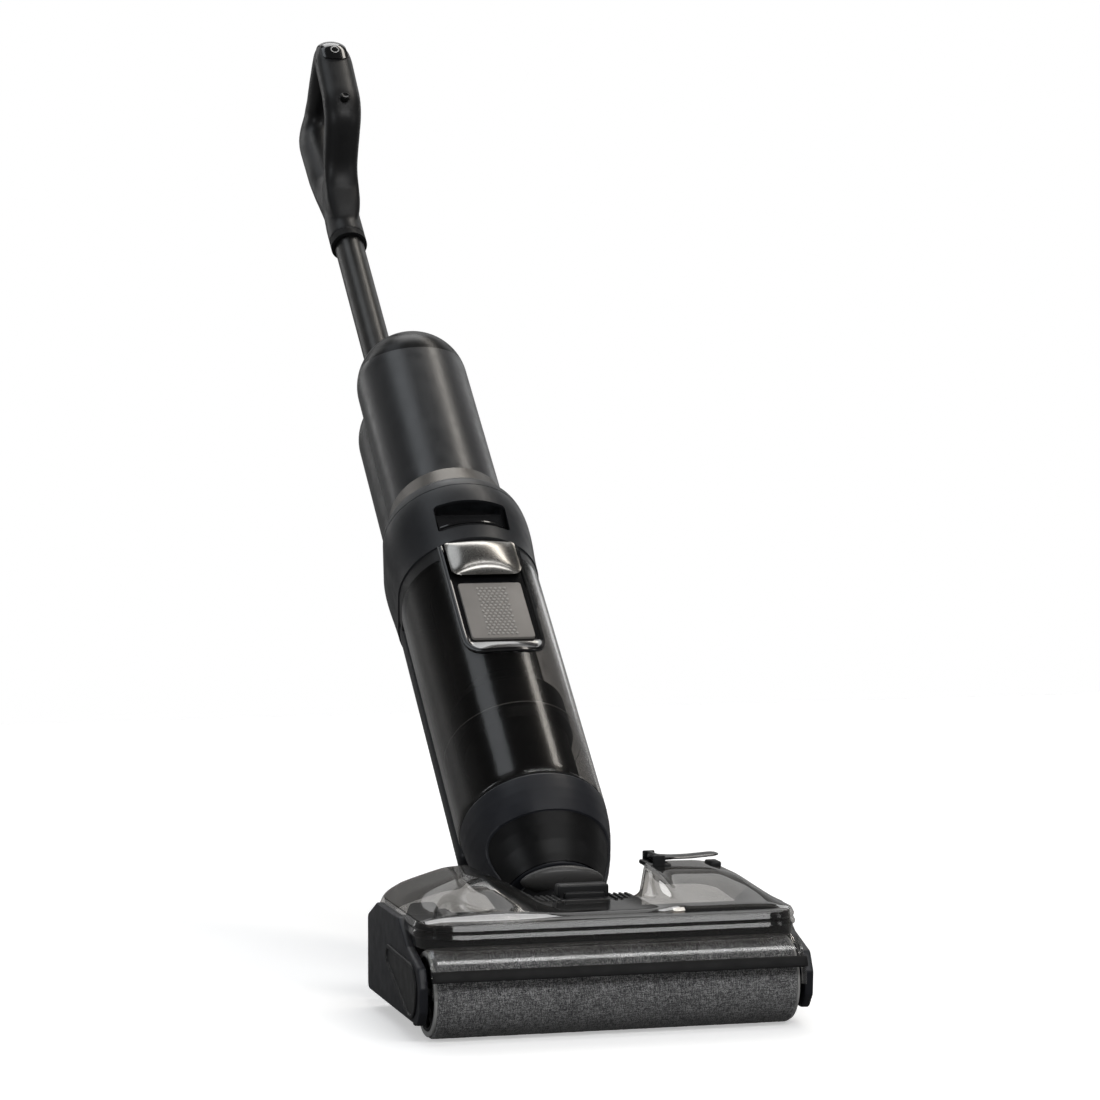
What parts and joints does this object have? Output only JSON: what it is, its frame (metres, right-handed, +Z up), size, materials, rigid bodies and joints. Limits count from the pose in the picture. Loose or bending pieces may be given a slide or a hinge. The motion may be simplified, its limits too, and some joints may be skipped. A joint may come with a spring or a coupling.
{
  "type": "wet dry floor scrubber",
  "caption": "Slim upright wet and dry floor scrubber with a plush roller head, smoked cover, clear dirty water tank, round motor barrel, tube and loop handle, leaning back.",
  "frame": {"origin": "middle of the floor scraper's flat sole, at floor level", "axes": "+X to the machine's right, +Y to its rear, +Z up"},
  "size_m": [0.275, 1.015, 0.7112],
  "materials": {
    "black_plastic": "fine satin grain",
    "slate_plastic": "satin",
    "navy_plastic": "satin",
    "barrel_paint": "satin metallic",
    "smoked_clear": "smoked transparent",
    "gloss_black": "gloss",
    "plush": "heather plush pile",
    "rubber": "matte",
    "tyre_rubber": "matte",
    "steel": "brushed",
    "tube_metal": "dark anodised",
    "band_metal": "bead blasted",
    "dark_chrome": "dark chrome plated",
    "warm_grey": "matte",
    "neck_grey": "satin metallic paint",
    "cell_metal": "wrapped cell",
    "board_green": "solder mask",
    "inner_white": "moulded"
  },
  "bodies": {
    "head": {"head_chassis": "black_plastic", "ballast_plates": "steel", "floor_scraper": "rubber", "chassis_screws": "steel", "wiper_bar": "rubber", "spray_bar": "black_plastic", "suction_duct": "black_plastic", "pivot_pins": "steel", "neck_trim": "black_plastic", "side_wall_left": "navy_plastic", "side_wall_right": "navy_plastic", "roller_bearings": "steel", "roller_end_caps": "navy_plastic", "brush_motor": "steel", "drive_belt": "rubber", "wheel_axles": "steel"},
    "roller": {"roller_core": "inner_white", "roller_fabric": "plush", "roller_end_plug": "black_plastic", "roller_pulley": "black_plastic"},
    "motor_rotor": {"motor_pulley": "steel"},
    "wheel_left": {"wheel_hub_left": "black_plastic", "tyre_left": "tyre_rubber"},
    "wheel_right": {"wheel_hub_right": "black_plastic", "tyre_right": "tyre_rubber"},
    "cover": {"roller_cover": "smoked_clear", "cover_strip": "rubber"},
    "latch": {"cover_latch": "gloss_black"},
    "neck": {"neck_yoke": "black_plastic", "swivel_ring": "steel", "neck_cap": "neck_grey"},
    "upright": {"lower_housing": "navy_plastic", "front_panel": "black_plastic", "battery_cells": "cell_metal", "spine": "slate_plastic", "water_pump": "black_plastic", "tank_collar": "slate_plastic", "barrel_shell": "barrel_paint", "barrel_cap": "black_plastic", "barrel_band": "band_metal", "suction_motor": "cell_metal", "circuit_board": "board_green", "tube_mount": "black_plastic", "handle_tube": "tube_metal", "socket_ring": "black_plastic", "handle_shell": "black_plastic", "touch_panel": "gloss_black"},
    "fan": {"fan": "inner_white"},
    "dirty_tank": {"dirty_tank_shell": "smoked_clear", "tank_lid": "black_plastic", "window_bezel": "gloss_black", "grip_plate": "warm_grey", "separator": "black_plastic"},
    "release_button": {"release_button": "dark_chrome"},
    "float": {"float": "inner_white"},
    "clean_tank": {"clean_tank": "slate_plastic"},
    "clean_tank_cap": {"clean_tank_cap": "rubber"},
    "power_button": {"power_button": "gloss_black"},
    "mode_button": {"mode_button": "black_plastic"},
    "trigger": {"trigger": "gloss_black"}
  },
  "joints": [
    {"name": "recline", "type": "hinge", "parent": "head", "child": "neck", "pos_m": [0, 0.072, 0.052], "axis": [-1, 0, 0], "range_deg": [-51.3, 7]},
    {"name": "swivel", "type": "hinge", "parent": "neck", "child": "upright", "pos_m": [0, 0.08222, 0.06019], "axis": [0, 0.7804, 0.6252], "range_deg": [-25, 25]},
    {"name": "roller_spin", "type": "hinge", "parent": "head", "child": "roller", "pos_m": [0, -0.05, 0.03], "axis": [1, 0, 0], "continuous": true},
    {"name": "motor_spin", "type": "hinge", "parent": "head", "child": "motor_rotor", "pos_m": [0, 0.03, 0.042], "axis": [1, 0, 0], "continuous": true},
    {"name": "wheel_left_spin", "type": "hinge", "parent": "head", "child": "wheel_left", "pos_m": [0, 0.205, 0.025], "axis": [1, 0, 0], "continuous": true},
    {"name": "wheel_right_spin", "type": "hinge", "parent": "head", "child": "wheel_right", "pos_m": [0, 0.205, 0.025], "axis": [1, 0, 0], "continuous": true},
    {"name": "cover_lift", "type": "slide", "parent": "head", "child": "cover", "axis": [0, 0, 1], "range_m": [0, 0.06]},
    {"name": "latch_lift", "type": "hinge", "parent": "cover", "child": "latch", "pos_m": [0.0645, 0.06, 0.0992], "axis": [0, -1, 0], "range_deg": [0, 25]},
    {"name": "fan_spin", "type": "hinge", "parent": "upright", "child": "fan", "pos_m": [0, 0.48258, 0.38094], "axis": [0, 0.7804, 0.6252], "continuous": true},
    {"name": "dirty_tank_pull", "type": "slide", "parent": "upright", "child": "dirty_tank", "axis": [0, -0.6252, 0.7804], "range_m": [0, 0.12]},
    {"name": "release_press", "type": "slide", "parent": "dirty_tank", "child": "release_button", "axis": [0, 0.6252, -0.7804], "range_m": [0, 0.002], "stiffness_N_per_m": 1200, "springref_m": -0.001},
    {"name": "float_rise", "type": "slide", "parent": "dirty_tank", "child": "float", "axis": [0, 0.7804, 0.6252], "range_m": [0, 0.02]},
    {"name": "clean_tank_pull", "type": "slide", "parent": "upright", "child": "clean_tank", "axis": [0, 0.6252, -0.7804], "range_m": [0, 0.12]},
    {"name": "fill_cap_pull", "type": "slide", "parent": "clean_tank", "child": "clean_tank_cap", "axis": [0, 0.6252, -0.7804], "range_m": [0, 0.02]},
    {"name": "power_press", "type": "slide", "parent": "upright", "child": "power_button", "axis": [0, -0.617, -0.7869], "range_m": [0, 0.0006], "stiffness_N_per_m": 600, "springref_m": -0.0005},
    {"name": "mode_press", "type": "slide", "parent": "upright", "child": "mode_button", "axis": [0, 0.6252, -0.7804], "range_m": [0, 0.001], "stiffness_N_per_m": 600, "springref_m": -0.0005},
    {"name": "trigger_pull", "type": "slide", "parent": "upright", "child": "trigger", "axis": [0, -0.6252, 0.7804], "range_m": [0, 0.004], "stiffness_N_per_m": 300, "springref_m": -0.001}
  ],
  "couplings": [
    {"joint": "motor_spin", "follows": "roller_spin", "ratio": 2}
  ]
}
